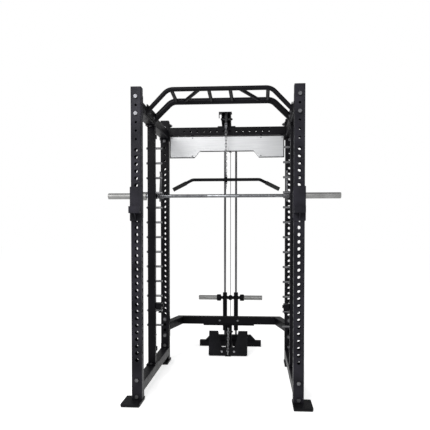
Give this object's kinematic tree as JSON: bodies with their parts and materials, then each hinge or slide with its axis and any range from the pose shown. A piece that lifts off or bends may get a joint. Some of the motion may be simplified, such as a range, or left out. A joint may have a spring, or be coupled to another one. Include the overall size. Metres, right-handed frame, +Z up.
{
  "type": "power cage",
  "caption": "Power cage with square uprights drilled for pins, a guided bar on vertical rods, a multi-grip pull-up bar and a plate-loaded pull-down tower behind.",
  "frame": {"origin": "on the floor under the middle of the whole cage's bounding box", "axes": "+Z up, +X to the right seen from the front, the open front faces -Y"},
  "size_m": [1.924, 2.262, 2.306],
  "materials": {
    "black_powder_coat": "satin powder coat",
    "textured_black": "wrinkle powder coat",
    "silver_panel": "brushed satin",
    "zinc_steel": "zinc plated",
    "chrome_steel": "polished",
    "chain_steel": "zinc plated",
    "black_rubber": "matte",
    "black_plastic": "matte",
    "coated_cable": "smooth coated"
  },
  "bodies": {
    "frame": {"base_column": "textured_black", "bottom_side_beam_left": "black_powder_coat", "bottom_side_beam_right": "black_powder_coat", "cable_runs": "coated_cable", "foot_pads": "black_rubber", "foot_plate": "textured_black", "foot_plates": "textured_black", "frame_bolts": "zinc_steel", "frame_nuts": "zinc_steel", "frame_washers": "zinc_steel", "guide_rods": "chrome_steel", "header_panel": "silver_panel", "lat_boom": "black_powder_coat", "lat_guide_rods": "chrome_steel", "low_chain": "chain_steel", "low_crossbeam": "black_powder_coat", "low_crossbeam_arm_left": "black_powder_coat", "low_crossbeam_arm_right": "black_powder_coat", "panel_screws": "zinc_steel", "peg_nuts": "zinc_steel", "pull_up_front_tube": "black_powder_coat", "pull_up_grips": "black_powder_coat", "pull_up_plates": "black_powder_coat", "pull_up_rear_tube": "black_powder_coat", "pulley_axles": "zinc_steel", "rear_crossbeam": "black_powder_coat", "rod_brackets": "black_powder_coat", "rod_bumpers": "black_rubber", "smith_pegs": "chrome_steel", "smith_post_left": "black_powder_coat", "smith_post_right": "black_powder_coat", "top_pulley_bracket": "black_powder_coat", "top_side_beam_left": "black_powder_coat", "top_side_beam_right": "black_powder_coat", "tower_base": "textured_black", "upright_caps": "black_plastic", "upright_front_left": "black_powder_coat", "upright_front_right": "black_powder_coat", "upright_rear_left": "black_powder_coat", "upright_rear_right": "black_powder_coat"},
    "lat_pull": {"lat_cable": "coated_cable", "lat_chain": "chain_steel", "lat_fittings": "zinc_steel", "lat_bar": "black_powder_coat", "lat_bar_grips": "black_rubber"},
    "weights": {"weight_cable": "coated_cable", "low_cable": "coated_cable", "weight_carriage": "black_powder_coat", "weight_pegs": "chrome_steel"},
    "front_wheel": {"pulley_front": "black_plastic"},
    "rear_wheel": {"pulley_rear": "black_plastic"},
    "low_wheel": {"pulley_low": "black_plastic"},
    "smith_slider": {"smith_carriages": "black_powder_coat"},
    "smith_lift": {"smith_bar": "chrome_steel", "smith_sleeves": "chrome_steel", "smith_hooks": "zinc_steel"},
    "stop_left": {"safety_stop_left": "black_powder_coat"},
    "stop_right": {"safety_stop_right": "black_powder_coat"},
    "cup_left": {"jcup_left": "textured_black"},
    "cup_right": {"jcup_right": "textured_black"}
  },
  "joints": [
    {"name": "weights_lift", "type": "slide", "parent": "frame", "child": "weights", "axis": [0, 0, 1], "range_m": [0, 1.1], "deforming": ["weight_cable", "low_cable"]},
    {"name": "lat_bar_pull", "type": "slide", "parent": "frame", "child": "lat_pull", "axis": [0, 0, 1], "range_m": [-1.1, 0], "deforming": ["lat_cable"]},
    {"name": "front_wheel_turn", "type": "hinge", "parent": "frame", "child": "front_wheel", "pos_m": [0, 0.225, 2.245], "axis": [1, 0, 0], "continuous": true},
    {"name": "rear_wheel_turn", "type": "hinge", "parent": "frame", "child": "rear_wheel", "pos_m": [0, 1.042, 2.102], "axis": [1, 0, 0], "continuous": true},
    {"name": "low_wheel_turn", "type": "hinge", "parent": "frame", "child": "low_wheel", "pos_m": [0, 0.663, 0.226], "axis": [1, 0, 0], "continuous": true},
    {"name": "smith_slide", "type": "slide", "parent": "frame", "child": "smith_slider", "axis": [0, 0, 1], "range_m": [-0.72, 0.24]},
    {"name": "smith_turn", "type": "hinge", "parent": "smith_slider", "child": "smith_lift", "pos_m": [0, -0.284, 1.52], "axis": [1, 0, 0], "range_deg": [0, 45]},
    {"name": "stop_left_swing", "type": "hinge", "parent": "frame", "child": "stop_left", "pos_m": [-0.575, -0.334, 0.596], "axis": [0, 0, 1], "range_deg": [0, 75]},
    {"name": "stop_right_swing", "type": "hinge", "parent": "frame", "child": "stop_right", "pos_m": [0.575, -0.334, 0.596], "axis": [0, 0, -1], "range_deg": [0, 75]},
    {"name": "cup_left_pull", "type": "slide", "parent": "frame", "child": "cup_left", "axis": [0, -1, 0], "range_m": [0, 0.12]},
    {"name": "cup_right_pull", "type": "slide", "parent": "frame", "child": "cup_right", "axis": [0, -1, 0], "range_m": [0, 0.12]}
  ],
  "couplings": [
    {"joint": "lat_bar_pull", "follows": "weights_lift", "ratio": -1},
    {"joint": "front_wheel_turn", "follows": "weights_lift", "rad_per_m": 20.408},
    {"joint": "rear_wheel_turn", "follows": "weights_lift", "rad_per_m": 20.408},
    {"joint": "low_wheel_turn", "follows": "weights_lift", "rad_per_m": -25.641}
  ]
}
